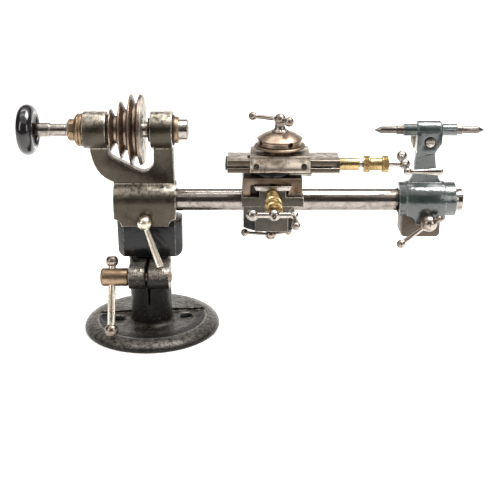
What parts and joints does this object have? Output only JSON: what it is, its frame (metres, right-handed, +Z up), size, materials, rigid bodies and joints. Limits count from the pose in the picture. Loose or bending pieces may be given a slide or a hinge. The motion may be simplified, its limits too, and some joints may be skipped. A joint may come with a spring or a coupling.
{
  "type": "watchmakers lathe",
  "caption": "Bench watchmaker's lathe: round foot, D-shaped bar bed, cone pulley headstock, compound slide rest and tailstock with a double-ended runner.",
  "frame": {"origin": "centre of the foot's underside, on the pillar's axis", "axes": "+X along the spindle and the bed towards the tailstock, -Y towards the operator, +Z up"},
  "size_m": [0.3441, 0.1671, 0.1842],
  "materials": {
    "cast_black": "grainy black-green enamel on cast iron, worn on the edges",
    "black_enamel": "glossy black enamel",
    "black_gloss": "polished hard rubber",
    "bright_steel": "turned and polished, slightly tarnished",
    "slide_steel": "ground steel with brown staining",
    "brown_steel": "brown-stained ground steel",
    "dark_steel": "darkened steel",
    "aged_grey": "satin brown-grey, oil-darkened",
    "saddle_green": "dark grey-green enamel",
    "green_enamel": "glossy grey-green enamel with fine dimples",
    "rough_brown": "rough brown cast surface",
    "bronze": "dull bronze",
    "brass": "bright brass"
  },
  "bodies": {
    "foot": {"foot": "cast_black"},
    "post": {"foot_block": "black_enamel", "bed_bar": "bright_steel", "headstock": "aged_grey", "front_bush": "dark_steel", "rear_bush": "dark_steel"},
    "pillar_screw": {"pillar_screw": "bronze"},
    "tommy": {"tommy_bar": "bright_steel", "tommy_balls": "bright_steel"},
    "spindle": {"spindle": "bright_steel", "cone_pulley": "brown_steel", "index_plate": "bright_steel", "pulley_screw": "dark_steel", "nose_ring": "bronze", "take_up_nut": "bronze", "lock_nut": "bronze", "dust_ring": "black_enamel"},
    "draw_bar": {"draw_tube": "bright_steel", "hand_wheel": "black_gloss", "wheel_ferrule": "dark_steel"},
    "head_lever": {"head_clamp_shaft": "bright_steel", "head_lever": "bright_steel"},
    "saddle": {"saddle": "saddle_green", "saddle_shoe": "cast_black", "cross_way": "slide_steel", "cross_sleeve": "brass"},
    "saddle_screw": {"saddle_screw": "bright_steel", "saddle_handle": "bright_steel"},
    "cross_screw": {"cross_screw": "bright_steel", "cross_dial": "brass", "cross_crank": "bright_steel", "cross_grip": "bright_steel"},
    "cross_slide": {"cross_slide": "brown_steel", "cross_gib": "dark_steel", "cross_nut": "brass"},
    "top_base": {"swivel_disc": "dark_steel", "swivel_clamp": "slide_steel", "top_bed": "slide_steel", "bed_end_plate": "dark_steel", "top_sleeve": "brass"},
    "top_screw": {"top_screw": "bright_steel", "top_dial": "brass", "top_crank": "bright_steel", "top_grip": "bright_steel"},
    "carriage": {"carriage": "slide_steel", "carriage_gib": "dark_steel", "gib_screws": "dark_steel", "top_nut": "brass", "clamp_ring": "slide_steel", "clamp_stud": "bright_steel"},
    "clamp_disc": {"clamp_disc": "slide_steel"},
    "clamp_handle": {"clamp_handle": "bright_steel"},
    "tailstock": {"tailstock": "green_enamel", "tail_shoe": "rough_brown"},
    "runner": {"tail_runner": "bright_steel"},
    "tail_lock": {"tail_lock_screw": "dark_steel", "tail_lock_lever": "slide_steel"},
    "tail_lever": {"tail_clamp_shaft": "bright_steel", "tail_lever": "bright_steel"}
  },
  "joints": [
    {"name": "post_turn", "type": "hinge", "parent": "foot", "child": "post", "pos_m": [0, 0, 0.04], "axis": [0, 0, 1], "range_deg": [-50, 230]},
    {"name": "pillar_screw_turn", "type": "hinge", "parent": "foot", "child": "pillar_screw", "pos_m": [0, -0.024, 0.0503], "axis": [-1, 0, 0], "range_deg": [0, 90]},
    {"name": "tommy_slide", "type": "slide", "parent": "pillar_screw", "child": "tommy", "axis": [0, 0.4067, 0.9135], "range_m": [0, 0.017]},
    {"name": "spindle_spin", "type": "hinge", "parent": "post", "child": "spindle", "pos_m": [0, 0, 0.158], "axis": [1, 0, 0], "continuous": true},
    {"name": "draw_turn", "type": "hinge", "parent": "spindle", "child": "draw_bar", "pos_m": [-0.07, 0, 0.158], "axis": [1, 0, 0], "continuous": true},
    {"name": "head_lever_turn", "type": "hinge", "parent": "post", "child": "head_lever", "pos_m": [-0.001, 0, 0.0922], "axis": [0, -1, 0], "range_deg": [0, 100]},
    {"name": "saddle_slide", "type": "slide", "parent": "post", "child": "saddle", "axis": [1, 0, 0], "range_m": [-0.036, 0.008]},
    {"name": "saddle_screw_turn", "type": "hinge", "parent": "saddle", "child": "saddle_screw", "pos_m": [0.0938, 0, 0.08], "axis": [0, 0, 1], "range_deg": [0, 180]},
    {"name": "cross_feed", "type": "slide", "parent": "saddle", "child": "cross_slide", "axis": [0, 1, 0], "range_m": [-0.0123, 0.0103]},
    {"name": "cross_screw_turn", "type": "hinge", "parent": "saddle", "child": "cross_screw", "pos_m": [0.0938, -0.06, 0.1209], "axis": [0, 1, 0], "continuous": true},
    {"name": "top_swivel", "type": "hinge", "parent": "cross_slide", "child": "top_base", "pos_m": [0.0938, -0.0275, 0.1331], "axis": [0, 0, 1], "range_deg": [-60, 0]},
    {"name": "top_feed", "type": "slide", "parent": "top_base", "child": "carriage", "axis": [1, 0, 0], "range_m": [-0.0146, 0.0148]},
    {"name": "top_screw_turn", "type": "hinge", "parent": "top_base", "child": "top_screw", "pos_m": [0.15, -0.0275, 0.13945], "axis": [1, 0, 0], "continuous": true},
    {"name": "clamp_disc_turn", "type": "hinge", "parent": "carriage", "child": "clamp_disc", "pos_m": [0.099, -0.0275, 0.157], "axis": [0, 0, 1], "continuous": true},
    {"name": "clamp_handle_turn", "type": "hinge", "parent": "carriage", "child": "clamp_handle", "pos_m": [0.099, -0.0275, 0.168], "axis": [0, 0, 1], "range_deg": [-90, 90]},
    {"name": "tail_slide", "type": "slide", "parent": "post", "child": "tailstock", "axis": [1, 0, 0], "range_m": [-0.055, 0.006]},
    {"name": "runner_slide", "type": "slide", "parent": "tailstock", "child": "runner", "axis": [1, 0, 0], "range_m": [-0.02, 0.02]},
    {"name": "tail_lock_turn", "type": "hinge", "parent": "tailstock", "child": "tail_lock", "pos_m": [0.2105, 0, 0.15], "axis": [0, 1, 0], "range_deg": [0, 60]},
    {"name": "tail_lever_turn", "type": "hinge", "parent": "tailstock", "child": "tail_lever", "pos_m": [0.2106, 0, 0.0922], "axis": [0, 1, 0], "range_deg": [0, 90]}
  ],
  "couplings": [
    {"joint": "cross_screw_turn", "follows": "cross_feed", "rad_per_m": 6283.2},
    {"joint": "top_screw_turn", "follows": "top_feed", "rad_per_m": 6283.2}
  ]
}
